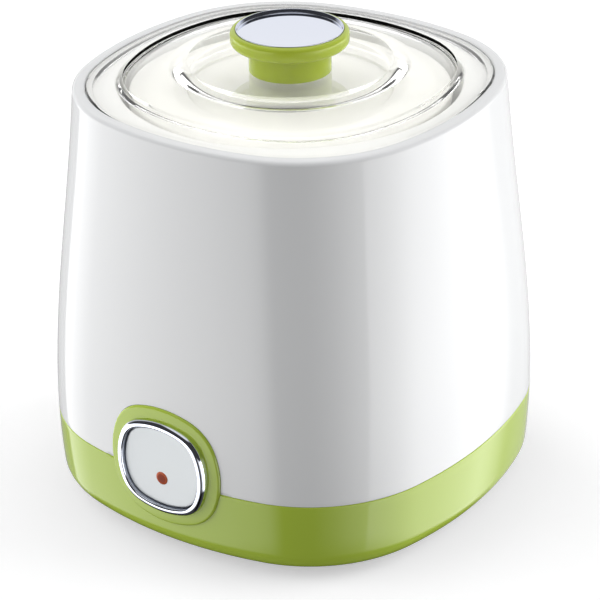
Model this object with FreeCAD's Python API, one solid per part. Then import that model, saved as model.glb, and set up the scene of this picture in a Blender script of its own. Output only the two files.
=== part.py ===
import FreeCAD, Part
import math
import os

# One-litre yogurt maker: a white barrel-shaped housing on a green base, a jar in a heated liner,
# a clear lid with a green knob, and a push button in a chrome bezel at the front (-Y).
# Millimetres, +Z up, the floor is z = 0 and the housing stands on the z axis.

# Outer form: a square with bowed sides and round corners, widest at the joint of base and shell
foot_height = 3.0
base_height = 26.4
shell_height = 117.0
joint_half_width = 76.4
bottom_taper = 1.0
middle_taper = 3.3
rim_taper = 8.3
corner_inset = 25.4
base_bow = 2.8
rim_bow = 1.9
bottom_edge_radius = 6.5
rim_edge_radius = 2.6

# Walls of the housing, and the lip by which the base plugs into the shell
shell_wall = 2.4
base_floor = 2.5
lip_height = 4.0
lip_thickness = 1.4
lip_clearance = 0.2
ledge_thickness = 2.4

# Liner bucket that hangs by its flange in the mouth of the shell
liner_room = 3.9
liner_draft = 2.2
liner_wall = 2.0
liner_flange = 2.0
liner_hole_clearance = 0.3
wiring_space = 19.5

# Clear lid
rim_width = 4.7
lid_clearance = 0.35
lid_edge_height = 2.2
lid_proud = 0.5
lid_wall = 2.0
lid_flange = 10.4
step_corner_inset = 13.0
step_rise = 2.1
step_drop = 1.5
dome_rise = 5.2
dome_crown = 1.3
well_radius = 34.4
well_taper = 1.2
well_depth = 3.9

# Knob on the lid
knob_foot_radius = 13.8
knob_foot_height = 9.0
knob_head_radius = 19.8
knob_head_height = 5.3
knob_edge_radius = 1.8
knob_cap_radius = 17.9
knob_cap_clearance = 0.1
knob_cap_thickness = 1.0
knob_cap_lip = 1.5
knob_cap_lip_width = 0.9
knob_cap_proud = 0.3
knob_cap_peg_radius = 4.0
knob_cap_peg_length = 3.5
knob_screw_radius = 1.5
knob_screw_engagement = 6.0
knob_screw_head_radius = 3.2
knob_screw_head_height = 2.0
knob_washer_radius = 5.0
knob_washer_thickness = 0.6

# Jar and its own lid
jar_side_room = 1.2
jar_headroom = 1.6
jar_wall = 2.2
jar_bottom = 3.0
jar_bottom_edge = 5.0
jar_neck_height = 8.6
jar_neck_step = 2.1
jar_lid_wall = 1.7
jar_lid_panel_radius = 34.0
jar_lid_panel_depth = 1.0
seal_thickness = 1.7
seal_width = 3.2

# Room left between pieces that part from each other, and between pieces that only pass
seat_gap = 0.3
slide_gap = 0.3
pass_gap = 0.15
thread_gap = 0.05

# Button panel on the front: opening in the bezel, bezel, green collar round it
panel_height = 34.0
opening_half_width = 15.5
opening_half_height = 14.4
opening_corner = 9.0
panel_bow = 0.9
bezel_band = 2.5
bezel_reach = 2.5
bezel_round = 1.3
bezel_sleeve_wall = 1.4
bezel_sleeve_depth = 9.8
collar_band = 4.2
collar_proud = 0.9

# Push button, its lens, spring and switch
face_recess = 1.5
button_thickness = 2.4
button_skirt_wall = 1.5
button_skirt_depth = 2.5
button_edge_round = 0.6
button_travel = 2.0
stem_radius = 1.8
stem_rise = 4.5
lens_radius = 2.35
lens_drop = 4.1
lens_proud = 0.3
lens_flange = 0.9
lens_flange_thickness = 0.8
spring_wire = 0.5
spring_turns = 3.5
spring_room = 4.5
spring_clearance = 0.3
switch_size = 10.0
switch_depth = 6.0
board_half_width = 22.5
board_drop = 6.0
board_thickness = 1.6
board_post_spacing = 39.2
board_post_radius = 2.2
lamp_radius = 2.0
lamp_length = 6.6

# Heater under the liner
heater_plate_room = 2.0
heater_plate_thickness = 1.5
heater_end_room = 16.0
heater_width = 22.0
heater_height = 6.0
heater_tab_length = 4.0
heater_tab_width = 11.0
heater_tab_thickness = 0.8
clamp_width = 14.0
clamp_thickness = 1.2
clamp_end = 6.0
fuse_radius = 2.0
fuse_length = 14.0
fuse_room = 7.0

# Screws that hold the base to the liner, and the pillars round them
base_screw_inset = 2.8
base_pillar_radius = 5.0
base_pillar_height = 8.5
liner_boss_radius = 4.0
screw_radius = 1.6
screw_head_radius = 3.1
screw_head_height = 2.2
screw_engagement = 8.0
screw_seat_height = 3.0

# Rubber feet
foot_radius = 6.5
foot_taper = 0.6
foot_recess = 0.8
foot_inset = 32.6

# Power inlet in the back of the base
inlet_half_width = 13.0
inlet_height = 13.0
inlet_length = 22.0
inlet_stand = 5.0
inlet_inset = 0.4
socket_radius = 3.8
socket_depth = 15.0
pin_radius = 1.2
pin_spacing = 8.6
pin_recess = 2.0
pin_tail = 3.0

# Vents in the floor of the base, and the wires
vent_count = 5
vent_pitch = 9.0
vent_width = 3.0
vent_length = 24.0
wire_radius = 1.0

Vec = FreeCAD.Vector
up = Vec(0, 0, 1)
front = Vec(0, -1, 0)

# Widths that follow from the sizes above
bottom_half_width = joint_half_width - bottom_taper
middle_half_width = joint_half_width - middle_taper
rim_half_width = joint_half_width - rim_taper
lid_half_width = rim_half_width - rim_width
corner_radius = joint_half_width - corner_inset
step_half_width = lid_half_width - lid_flange
step_corner = step_half_width - step_corner_inset
foot_offset = joint_half_width - foot_inset

# Heights that follow from the sizes above
base_z = foot_height
floor_z = base_z + base_floor
joint_z = base_z + base_height
middle_z = joint_z + shell_height / 2
rim_z = joint_z + shell_height
lid_edge_z = rim_z + lid_proud
lid_under_z = lid_edge_z - lid_edge_height
liner_top_z = lid_under_z - seat_gap
ledge_z = liner_top_z - liner_flange
ledge_under_z = ledge_z - ledge_thickness
liner_under_z = floor_z + wiring_space
liner_floor_z = liner_under_z + liner_wall
step_top_z = lid_edge_z + step_rise
step_floor_z = step_top_z - step_drop
dome_top_z = step_floor_z + dome_rise
well_floor_z = dome_top_z - well_depth
well_under_z = well_floor_z - lid_wall
knob_neck_z = well_floor_z + knob_foot_height
knob_top_z = knob_neck_z + knob_head_height
cap_seat_z = knob_top_z + knob_cap_proud - knob_cap_lip - knob_cap_thickness
jar_z = liner_floor_z + seat_gap
jar_lid_top_z = well_under_z - knob_washer_thickness - knob_screw_head_height - jar_headroom
jar_lid_under_z = jar_lid_top_z - jar_lid_wall
jar_top_z = jar_lid_under_z - seal_thickness - seat_gap
jar_neck_z = jar_top_z - jar_neck_height

# Places on the front panel that follow from the sizes above
bezel_front_y = -(joint_half_width + bezel_reach)
face_y = bezel_front_y + face_recess
button_back_y = face_y + button_thickness
switch_front_y = button_back_y + spring_room
board_front_y = switch_front_y + switch_depth
board_back_y = board_front_y + board_thickness
stem_z = panel_height + stem_rise
lens_z = panel_height - lens_drop
board_low_z = liner_under_z - board_drop
board_half_height = panel_height - board_low_z
board_post_places = (-board_post_spacing / 2, board_post_spacing / 2)

# Liner, jar and heater follow from the room behind the switch board
liner_bottom_radius = -board_back_y - screw_head_height - liner_room - liner_wall
liner_top_radius = liner_bottom_radius + liner_draft
jar_radius = liner_bottom_radius - jar_side_room
jar_neck_radius = jar_radius - jar_neck_step
base_screw_circle = liner_bottom_radius - base_screw_inset - liner_boss_radius
base_screw_offset = base_screw_circle / math.sqrt(2)
heater_plate_radius = base_screw_circle - liner_boss_radius - heater_plate_room
clamp_screw_spacing = 2 * (heater_plate_radius - clamp_end)
heater_length = clamp_screw_spacing - 2 * heater_end_room
fuse_offset = heater_length / 2 + fuse_room

# Heights under the liner
plate_under_z = liner_under_z - heater_plate_thickness
heater_under_z = plate_under_z - heater_height
clamp_under_z = heater_under_z - clamp_thickness
pillar_top_z = floor_z + base_pillar_height
screw_seat_z = floor_z + screw_seat_height
inlet_z = floor_z + inlet_stand + inlet_height / 2
inlet_face_y = joint_half_width - inlet_inset
inlet_back_y = inlet_face_y - inlet_length
pin_end_y = inlet_back_y - pin_tail
fuse_z = plate_under_z - fuse_radius - thread_gap
tab_end_y = heater_width / 2 + heater_tab_length
tab_z = heater_under_z + heater_height / 2
clamp_screw_places = (-clamp_screw_spacing / 2, clamp_screw_spacing / 2)
pin_places = (-pin_spacing / 2, pin_spacing / 2)
far = 4 * joint_half_width


def cushion_wire(half_x, half_y, corner, bow, z):
    """Outline of four bowed sides and four round corners, eight arcs that run into each other.

    A corner's centre lies corner + bow inside the two sides. A side's radius follows from the
    rule that its arc touches the corner arc inside: (c * c + 2 * corner * bow + bow * bow) / (2 * bow).
    """
    cx = half_x - corner - bow
    cy = half_y - corner - bow
    radius_x = (cy * cy + 2 * corner * bow + bow * bow) / (2 * bow)
    radius_y = (cx * cx + 2 * corner * bow + bow * bow) / (2 * bow)
    low = math.atan2(cy, cx - half_x + radius_x)
    high = math.atan2(cy - half_y + radius_y, cx)

    def on_corner(angle):
        return cx + corner * math.cos(angle), cy + corner * math.sin(angle)

    ax, ay = on_corner(low)
    mx, my = on_corner((low + high) / 2)
    bx, by = on_corner(high)
    ring = [(ax, -ay), (half_x, 0), (ax, ay), (mx, my), (bx, by), (0, half_y), (-bx, by), (-mx, my),
            (-ax, ay), (-half_x, 0), (-ax, -ay), (-mx, -my), (-bx, -by), (0, -half_y), (bx, -by), (mx, -my)]
    return arc_ring(ring, z)


def round_wire(radius, z, lead=math.radians(27)):
    """Circle cut into the same eight arcs as a cushion outline, so that the two can be lofted."""
    turns = [-lead, 0, lead, math.pi / 4]
    ring = []
    for quarter in range(4):
        for turn in turns:
            angle = turn + quarter * math.pi / 2
            ring.append((radius * math.cos(angle), radius * math.sin(angle)))
    return arc_ring(ring, z)


def arc_ring(ring, z):
    """Closed wire of arcs through a ring of points, in turn an end and a middle of an arc."""
    points = [Vec(x, y, z) for x, y in ring]
    count = len(points)
    arcs = [Part.Arc(points[i], points[i + 1], points[(i + 2) % count]) for i in range(0, count, 2)]
    return Part.Wire([arc.toShape() for arc in arcs])


def cushion_prism(half, corner, bow, low, high):
    """Upright prism on a cushion outline."""
    return Part.Face(cushion_wire(half, half, corner, bow, low)).extrude(up * (high - low))


def front_prism(grow, back_y, front_y):
    """Prism along Y on the outline of the bezel's opening, grown on all sides."""
    wire = cushion_wire(opening_half_width + grow, opening_half_height + grow, opening_corner + grow,
                        panel_bow, 0)
    prism = Part.Face(wire).extrude(up * (back_y - front_y))
    prism.rotate(Vec(0, 0, 0), Vec(1, 0, 0), 90)
    prism.translate(Vec(0, back_y, panel_height))
    return prism


def slab(low, high):
    """Everything between two heights."""
    return Part.makeBox(far, far, high - low, Vec(-far / 2, -far / 2, low))


def body_form(inset, low, high):
    """Outer form of the housing, moved inwards by inset and kept between two heights."""
    stations = [(base_z, bottom_half_width), (joint_z, joint_half_width),
                (middle_z, middle_half_width), (rim_z, rim_half_width)]
    wires = []
    for z, half in stations:
        share = (z - base_z) / (rim_z - base_z)
        bow = base_bow + (rim_bow - base_bow) * share
        wires.append(cushion_wire(half - inset, half - inset, corner_radius - inset, bow, z))
    return Part.makeLoft(wires, True, False).common(slab(low, high))


def edges_in_plane(shape, normal, distance):
    """Edges of a shape that lie in one plane."""
    def lies_in(edge):
        points = edge.discretize(5)
        return all(abs(point.dot(normal) - distance) < 1e-4 for point in points)
    return [edge for edge in shape.Edges if lies_in(edge)]


def widest_edge(shape, z):
    """The largest of a turned shape's circles at one height."""
    return max(edges_in_plane(shape, up, z), key=lambda edge: edge.Length)


def column(radius, low, high, x=0, y=0):
    """Upright cylinder."""
    return Part.makeCylinder(radius, high - low, Vec(x, y, low))


def rod(radius, back_y, front_y, x, z):
    """Cylinder along Y."""
    return Part.makeCylinder(radius, back_y - front_y, Vec(x, back_y, z), front)


def turned(outline):
    """Solid of revolution about the z axis, on a closed outline of radius and height."""
    points = [Vec(r, 0, z) for r, z in outline]
    face = Part.Face(Part.makePolygon(points + points[:1]))
    return face.revolve(Vec(0, 0, 0), up, 360)


def corners(offset):
    """The four places at the same distance from both axes."""
    return [(x * offset, y * offset) for y in (-1, 1) for x in (-1, 1)]


def pan_screw(radius, head_radius, head_height, length):
    """Screw with its head below z = 0 and its shank above, with a cross slot in the head."""
    head = column(head_radius, -head_height, 0)
    head = head.makeFillet(head_height * 0.4, edges_in_plane(head, up, -head_height))
    slot_width = radius * 0.5
    slot_length = head_radius * 1.1
    for across, along in ((slot_width, slot_length), (slot_length, slot_width)):
        head = head.cut(Part.makeBox(across, along, head_height * 0.5,
                                     Vec(-across / 2, -along / 2, -head_height)))
    return head.fuse(column(radius, 0, length)).removeSplitter()


def lid_outline(inset):
    """Half width, corner and bow of the lid's outline, moved inwards by inset."""
    half = lid_half_width - inset
    return half, corner_radius - (rim_half_width - half), rim_bow


def make_outer_shell():
    shell = body_form(0, joint_z, rim_z)
    shell = shell.makeFillet(rim_edge_radius, edges_in_plane(shell, up, rim_z))
    shell = shell.cut(body_form(shell_wall, joint_z, ledge_under_z))
    recess_half, recess_corner, recess_bow = lid_outline(-lid_clearance)
    shell = shell.cut(cushion_prism(recess_half, recess_corner, recess_bow, ledge_z, rim_z))
    mouth = liner_top_radius + liner_wall + liner_hole_clearance
    shell = shell.cut(column(mouth, ledge_under_z, ledge_z))
    notch = bezel_band + collar_band + pass_gap
    return shell.cut(front_prism(notch, 0, -far))


def base_pillar(x, y):
    return column(base_pillar_radius, base_z + base_floor / 2, pillar_top_z, x, y)


def base_screw_bore(x, y):
    bore = column(screw_head_radius + seat_gap, base_z, screw_seat_z, x, y)
    return bore.fuse(column(screw_radius + seat_gap, base_z, pillar_top_z, x, y))


def board_post(x):
    inside_collar_y = -(joint_half_width - shell_wall / 2 - collar_proud)
    return rod(board_post_radius, board_front_y, inside_collar_y, x, panel_height)


def make_base_housing():
    base = body_form(0, base_z, joint_z)
    base = base.makeFillet(bottom_edge_radius, edges_in_plane(base, up, base_z))
    collar = body_form(-collar_proud, base_z, middle_z)
    collar = collar.common(front_prism(bezel_band + collar_band, 0, -far))
    base = base.fuse(collar)
    cavity = body_form(shell_wall, floor_z, middle_z)
    inner_edge = bottom_edge_radius - shell_wall
    cavity = cavity.makeFillet(inner_edge, edges_in_plane(cavity, up, floor_z))
    base = base.cut(cavity)
    lip_inset = shell_wall + lip_clearance
    inside = body_form(lip_inset + lip_thickness, joint_z - lip_height, joint_z + lip_height)
    band = body_form(shell_wall / 2, joint_z - lip_height, joint_z)
    lip = body_form(lip_inset, joint_z - lip_height, joint_z + lip_height)
    base = base.fuse(band.fuse(lip).cut(inside))
    base = base.cut(front_prism(bezel_sleeve_wall + pass_gap, board_front_y, -far))
    posts = [board_post(x) for x in board_post_places]
    pillars = [base_pillar(x, y) for x, y in corners(base_screw_offset)]
    stand_length = inlet_length / 2
    stand = Part.makeBox(2 * inlet_half_width, stand_length, base_floor / 2 + inlet_stand,
                         Vec(-inlet_half_width, inlet_back_y, floor_z - base_floor / 2))
    base = base.fuse(posts + pillars + [stand])
    bores = [base_screw_bore(x, y) for x, y in corners(base_screw_offset)]
    bores += [column(foot_radius + pass_gap, base_z, base_z + foot_recess, x, y)
              for x, y in corners(foot_offset)]
    bores += [rod(screw_radius, board_front_y, board_front_y - screw_engagement / 2, x, panel_height)
              for x in board_post_places]
    bores.append(Part.makeBox(2 * (inlet_half_width + pass_gap), far, inlet_height + 2 * pass_gap,
                              Vec(-inlet_half_width - pass_gap, inlet_back_y + stand_length,
                                  inlet_z - inlet_height / 2 - pass_gap)))
    for i in range(vent_count):
        x = (i - (vent_count - 1) / 2) * vent_pitch
        bores.append(Part.makeBox(vent_width, vent_length, base_floor,
                                  Vec(x - vent_width / 2, -vent_length / 2, base_z)))
    return base.cut(bores).removeSplitter()


def make_inner_liner():
    height = liner_top_z - liner_under_z
    bucket = Part.makeCone(liner_bottom_radius + liner_wall, liner_top_radius + liner_wall, height,
                           Vec(0, 0, liner_under_z))
    half, corner, bow = lid_outline(0)
    bucket = bucket.fuse(cushion_prism(half, corner, bow, ledge_z, liner_top_z))
    bosses = [column(liner_boss_radius, pillar_top_z, liner_floor_z, x, y)
              for x, y in corners(base_screw_offset)]
    bosses += [column(liner_boss_radius, heater_under_z, liner_floor_z, x) for x in clamp_screw_places]
    bucket = bucket.fuse(bosses)
    bucket = bucket.cut(Part.makeCone(liner_bottom_radius, liner_top_radius, liner_top_z - liner_floor_z,
                                      Vec(0, 0, liner_floor_z)))
    pilots = [column(screw_radius + thread_gap, pillar_top_z, pillar_top_z + screw_engagement, x, y)
              for x, y in corners(base_screw_offset)]
    pilots += [column(screw_radius + thread_gap, heater_under_z, liner_under_z, x)
               for x in clamp_screw_places]
    return bucket.cut(pilots)


def cushion_loft(outlines, ruled):
    """Solid through cushion outlines, each a half width, a corner, a bow and a height."""
    wires = [cushion_wire(half, half, corner, bow, z) for half, corner, bow, z in outlines]
    return Part.makeLoft(wires, True, ruled)


def dome(sink):
    """Dome of the lid from the step's outline up to the edge of the well, sunk by a wall's thickness."""
    crown_half = (step_half_width + well_radius) / 2 - sink
    crown_corner = (step_corner + well_radius) / 2 - sink
    crown_z = step_floor_z + dome_rise / 2 + dome_crown - sink
    foot_half = step_half_width - sink
    wires = [cushion_wire(foot_half, foot_half, step_corner - sink, rim_bow, step_floor_z - sink),
             cushion_wire(crown_half, crown_half, crown_corner, rim_bow / 2, crown_z),
             round_wire(well_radius, dome_top_z - sink)]
    return Part.makeLoft(wires, True, False)


def make_lid_cover():
    edge = lid_outline(0)
    inner_edge = lid_outline(lid_wall)
    step = (step_half_width, step_corner, rim_bow)
    outer_step = (step_half_width + lid_wall, step_corner + lid_wall, rim_bow)
    cover = cushion_prism(*edge, lid_under_z, lid_edge_z)
    cover = cover.fuse(cushion_loft([(*edge, lid_edge_z), (*step, step_top_z)], True))
    cover = cover.cut(cushion_prism(*step, step_floor_z, step_top_z))
    cover = cover.fuse(dome(0))
    well = Part.makeCone(well_radius - well_taper, well_radius, well_depth, Vec(0, 0, well_floor_z))
    cover = cover.cut(well)
    under_slope = cushion_loft([(*inner_edge, lid_under_z), (*outer_step, step_top_z - lid_wall)], True)
    step_ring = cushion_prism(*outer_step, step_floor_z - lid_wall, step_top_z)
    cover = cover.cut(under_slope.cut(step_ring))
    well_wall = column(well_radius + lid_wall, well_under_z, dome_top_z)
    cover = cover.cut(dome(lid_wall).cut(well_wall))
    return cover.cut(column(knob_screw_radius + pass_gap, well_under_z, well_floor_z))


def make_lid_knob():
    seat_radius = knob_cap_radius + knob_cap_clearance
    peg_radius = knob_cap_peg_radius + knob_cap_clearance
    peg_z = cap_seat_z - knob_cap_peg_length
    pilot = knob_screw_radius + thread_gap
    pilot_z = well_floor_z + knob_screw_engagement
    knob = turned([(pilot, well_floor_z), (knob_foot_radius, well_floor_z), (knob_foot_radius, knob_neck_z),
                   (knob_head_radius, knob_neck_z), (knob_head_radius, knob_top_z),
                   (seat_radius, knob_top_z), (seat_radius, cap_seat_z), (peg_radius, cap_seat_z),
                   (peg_radius, peg_z), (0, peg_z), (0, pilot_z), (pilot, pilot_z)])
    knob = knob.makeFillet(knob_edge_radius, [widest_edge(knob, knob_neck_z)])
    return knob.makeFillet((knob_head_radius - seat_radius) * 0.6, [widest_edge(knob, knob_top_z)])


def make_knob_cap():
    lip_inner = knob_cap_radius - knob_cap_lip_width
    dish_z = cap_seat_z + knob_cap_thickness
    lip_z = dish_z + knob_cap_lip
    peg_z = cap_seat_z - knob_cap_peg_length
    cap = turned([(0, peg_z), (knob_cap_peg_radius, peg_z), (knob_cap_peg_radius, cap_seat_z),
                  (knob_cap_radius, cap_seat_z), (knob_cap_radius, lip_z), (lip_inner, lip_z),
                  (lip_inner, dish_z), (0, dish_z)])
    return cap.makeFillet(knob_cap_lip_width * 0.45, edges_in_plane(cap, up, lip_z))


def make_knob_screw():
    seat = well_under_z - knob_washer_thickness
    length = well_floor_z - seat + knob_screw_engagement - seat_gap
    screw = pan_screw(knob_screw_radius, knob_screw_head_radius, knob_screw_head_height, length)
    screw.translate(up * seat)
    return screw


def make_knob_washer():
    low = well_under_z - knob_washer_thickness
    washer = column(knob_washer_radius, low, well_under_z)
    return washer.cut(column(knob_screw_radius + pass_gap, low, well_under_z))


def make_jar():
    inner = jar_radius - jar_wall
    neck_inner = jar_neck_radius - jar_wall
    shoulder_z = jar_neck_z - jar_wall
    jar = turned([(0, jar_z), (jar_radius, jar_z), (jar_radius, jar_neck_z), (jar_neck_radius, jar_neck_z),
                  (jar_neck_radius, jar_top_z), (neck_inner, jar_top_z), (neck_inner, shoulder_z),
                  (inner, shoulder_z - jar_neck_step), (inner, jar_z + jar_bottom), (0, jar_z + jar_bottom)])
    jar = jar.makeFillet(jar_bottom_edge, edges_in_plane(jar, up, jar_z))
    return jar.makeFillet(jar_bottom_edge, edges_in_plane(jar, up, jar_z + jar_bottom))


def make_jar_lid():
    skirt_inner = jar_neck_radius + slide_gap
    skirt_z = jar_neck_z + seat_gap
    panel_top = jar_lid_top_z - jar_lid_panel_depth
    panel_under = jar_lid_under_z - jar_lid_panel_depth
    web = jar_lid_panel_radius + jar_lid_wall
    lid = turned([(0, panel_under), (web, panel_under), (web, jar_lid_under_z),
                  (skirt_inner, jar_lid_under_z), (skirt_inner, skirt_z), (jar_radius, skirt_z),
                  (jar_radius, jar_lid_top_z), (jar_lid_panel_radius, jar_lid_top_z),
                  (jar_lid_panel_radius, panel_top), (0, panel_top)])
    return lid.makeFillet(jar_lid_wall * 0.6, [widest_edge(lid, jar_lid_top_z)])


def make_jar_lid_seal():
    low = jar_lid_under_z - seal_thickness
    ring = column(jar_neck_radius, low, jar_lid_under_z)
    return ring.cut(column(jar_neck_radius - seal_width, low, jar_lid_under_z))


def make_button_bezel():
    ring = front_prism(bezel_band, 0, bezel_front_y)
    ring = ring.makeFillet(bezel_round, edges_in_plane(ring, front, -bezel_front_y))
    ring = ring.cut(body_form(-collar_proud, base_z, middle_z))
    sleeve = front_prism(bezel_sleeve_wall, bezel_front_y + bezel_sleeve_depth, bezel_front_y + bezel_round)
    return ring.fuse(sleeve).cut(front_prism(0, 0, -far)).removeSplitter()


def make_push_button():
    skirt_y = button_back_y + button_skirt_depth
    button = front_prism(-slide_gap, skirt_y, face_y)
    button = button.makeFillet(button_edge_round, edges_in_plane(button, front, -face_y))
    button = button.cut(front_prism(-slide_gap - button_skirt_wall, skirt_y, button_back_y))
    stem_y = switch_front_y + button_travel
    button = button.fuse(rod(stem_radius, stem_y, face_y + button_thickness / 2, 0, stem_z))
    return button.cut(rod(lens_radius, button_back_y, face_y, 0, lens_z)).removeSplitter()


def make_indicator_lens():
    flange_back = button_back_y + lens_flange_thickness
    lens = rod(lens_radius - thread_gap, flange_back, face_y - lens_proud, 0, lens_z)
    lens = lens.makeFillet(lens_proud * 0.8, edges_in_plane(lens, front, -(face_y - lens_proud)))
    return lens.fuse(rod(lens_radius + lens_flange, flange_back, button_back_y, 0, lens_z)).removeSplitter()


def make_button_spring():
    """Coil round the stem, between the back of the button and the front of the switch."""
    coil_radius = stem_radius + spring_clearance + spring_wire
    rise = spring_room - spring_wire - 2 * thread_gap
    helix = Part.makeHelix(rise / spring_turns, rise, coil_radius)
    ring = Part.Wire(Part.makeCircle(spring_wire / 2, Vec(coil_radius, 0, 0), Vec(0, 1, 0)))
    coil = Part.Wire(helix).makePipeShell([ring], True, True)
    coil.rotate(Vec(0, 0, 0), Vec(1, 0, 0), 90)
    coil.translate(Vec(0, switch_front_y - spring_wire / 2 - thread_gap, stem_z))
    return coil


def make_switch_body():
    half = switch_size / 2
    body = Part.makeBox(switch_size, switch_depth, switch_size, Vec(-half, switch_front_y, stem_z - half))
    bore_depth = button_travel * 2 + seat_gap
    return body.cut(rod(stem_radius + slide_gap, switch_front_y + bore_depth, switch_front_y, 0, stem_z))


def make_switch_board():
    board = Part.makeBox(2 * board_half_width, board_thickness, 2 * board_half_height,
                         Vec(-board_half_width, board_front_y, panel_height - board_half_height))
    for x in board_post_places:
        board = board.cut(rod(screw_radius + pass_gap, board_back_y, board_front_y, x, panel_height))
    return board


def make_board_screws():
    screws = []
    for x in board_post_places:
        screw = pan_screw(screw_radius - thread_gap, screw_head_radius, screw_head_height,
                          board_thickness + screw_engagement / 2 - seat_gap)
        screw.rotate(Vec(0, 0, 0), Vec(1, 0, 0), 90)
        screw.translate(Vec(x, board_back_y, panel_height))
        screws.append(screw)
    return Part.makeCompound(screws)


def make_indicator_lamp():
    lamp = rod(lamp_radius, board_front_y, board_front_y - lamp_length, 0, lens_z)
    return lamp.makeFillet(lamp_radius * 0.9, edges_in_plane(lamp, front, lamp_length - board_front_y))


def make_heater_plate():
    plate = column(heater_plate_radius, plate_under_z, liner_under_z)
    for x in clamp_screw_places:
        plate = plate.cut(column(liner_boss_radius + pass_gap, plate_under_z, liner_under_z, x))
    return plate


def make_ptc_heater():
    block = Part.makeBox(heater_length, heater_width, heater_height,
                         Vec(-heater_length / 2, -heater_width / 2, heater_under_z))
    for x in (-heater_tab_width - heater_tab_length / 2, heater_tab_length / 2):
        tab = Part.makeBox(heater_tab_width, tab_end_y, heater_tab_thickness,
                           Vec(x, 0, tab_z - heater_tab_thickness / 2))
        block = block.fuse(tab)
    return block.removeSplitter()


def make_heater_clamp():
    length = clamp_screw_spacing + 2 * clamp_end
    strip = Part.makeBox(length, clamp_width, clamp_thickness,
                         Vec(-length / 2, -clamp_width / 2, clamp_under_z))
    for x in clamp_screw_places:
        strip = strip.cut(column(screw_radius + pass_gap, clamp_under_z, heater_under_z, x))
    return strip


def make_clamp_screws():
    screws = []
    for x in clamp_screw_places:
        screw = pan_screw(screw_radius, screw_head_radius, screw_head_height,
                          liner_under_z - clamp_under_z - seat_gap)
        screw.translate(Vec(x, 0, clamp_under_z))
        screws.append(screw)
    return Part.makeCompound(screws)


def make_base_screws():
    screws = []
    for x, y in corners(base_screw_offset):
        screw = pan_screw(screw_radius, screw_head_radius, screw_head_height,
                          pillar_top_z - screw_seat_z + screw_engagement - seat_gap)
        screw.translate(Vec(x, y, screw_seat_z))
        screws.append(screw)
    return Part.makeCompound(screws)


def make_thermal_fuse():
    return rod(fuse_radius, fuse_length / 2, -fuse_length / 2, -fuse_offset, fuse_z)


def make_foot(x, y):
    return Part.makeCone(foot_radius - foot_taper, foot_radius, foot_height + foot_recess, Vec(x, y, 0))


def make_appliance_inlet():
    block = Part.makeBox(2 * inlet_half_width, far, inlet_height,
                         Vec(-inlet_half_width, inlet_back_y, inlet_z - inlet_height / 2))
    block = block.common(body_form(inlet_inset, base_z, joint_z))
    socket_back = inlet_face_y - socket_depth
    for x in pin_places:
        block = block.cut(rod(socket_radius, far, socket_back, x, inlet_z))
        block = block.cut(rod(pin_radius + thread_gap, socket_back, inlet_back_y, x, inlet_z))
    middle = Part.makeBox(pin_spacing, far, 2 * socket_radius,
                          Vec(-pin_spacing / 2, socket_back, inlet_z - socket_radius))
    return block.cut(middle)


def make_inlet_pins():
    tip_y = inlet_face_y - pin_recess
    return Part.makeCompound([rod(pin_radius, tip_y, pin_end_y, x, inlet_z) for x in pin_places])


def wire_tube(points):
    """Insulated wire: straight runs joined by the largest arcs that the runs leave room for."""
    points = [Vec(*point) for point in points]
    edges = []
    start = points[0]
    for before, here, after in zip(points, points[1:], points[2:]):
        back = (before - here).normalize()
        ahead = (after - here).normalize()
        turn = math.pi - back.getAngle(ahead)
        trim = 0.45 * min((before - here).Length, (after - here).Length)
        radius = trim / math.tan(turn / 2)
        inward = (back + ahead).normalize()
        middle = here + inward * (radius / math.cos(turn / 2) - radius)
        edges.append(Part.LineSegment(start, here + back * trim).toShape())
        edges.append(Part.Arc(here + back * trim, middle, here + ahead * trim).toShape())
        start = here + ahead * trim
    edges.append(Part.LineSegment(start, points[-1]).toShape())
    path = Part.Wire(edges)
    direction = (points[1] - points[0]).normalize()
    ring = Part.Wire(Part.makeCircle(wire_radius, points[0], direction))
    tube = path.makePipeShell([ring], True, False)
    expected = math.pi * wire_radius ** 2 * path.Length
    print("wire length %.1f, volume over section times length %.4f" % (path.Length, tube.Volume / expected))
    return tube


# Wires run on a grid of 34 steps from the middle to a base pillar
step = base_screw_offset / 34
wire_z = board_low_z + 2 * wire_radius
pin_x = pin_spacing / 2
wire_routes = {
    "live_wire": [(-10, board_back_y, wire_z), (-10, board_back_y + 10, wire_z), (-16 * step, -42 * step, 14),
                  (-21 * step, -24 * step, 10), (-22 * step, 2, 9.5), (-20 * step, 24 * step, 10),
                  (-12, 38 * step, 13.5), (-pin_x, pin_end_y - 7, inlet_z), (-pin_x, pin_end_y, inlet_z)],
    "switched_wire": [(0, board_back_y, wire_z), (0, board_back_y + 10, wire_z), (-8, -42 * step, 19),
                      (-20 * step, -30 * step, 18.5), (-fuse_offset, -17, fuse_z),
                      (-fuse_offset, -fuse_length / 2, fuse_z)],
    "fuse_lead": [(-fuse_offset, fuse_length / 2, fuse_z), (-fuse_offset, 15, fuse_z),
                  (-fuse_offset + 4, 22, 20.5), (-15, 26, 20), (-8, 21, tab_z), (-8, tab_end_y, tab_z)],
    "neutral_wire": [(pin_x, pin_end_y, inlet_z), (pin_x, pin_end_y - 7, inlet_z), (6, 34 * step, 17),
                     (6, 26, 19), (5, 20, tab_z), (5, tab_end_y, tab_z)],
    "lamp_wire": [(10, board_back_y, wire_z), (10, board_back_y + 10, wire_z), (18 * step, -42 * step, 14),
                  (25 * step, -26 * step, 10), (27 * step, -4, 10), (24 * step, 16, 13), (17, 26, 18),
                  (10, 23, tab_z), (10, tab_end_y, tab_z)],
}

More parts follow.
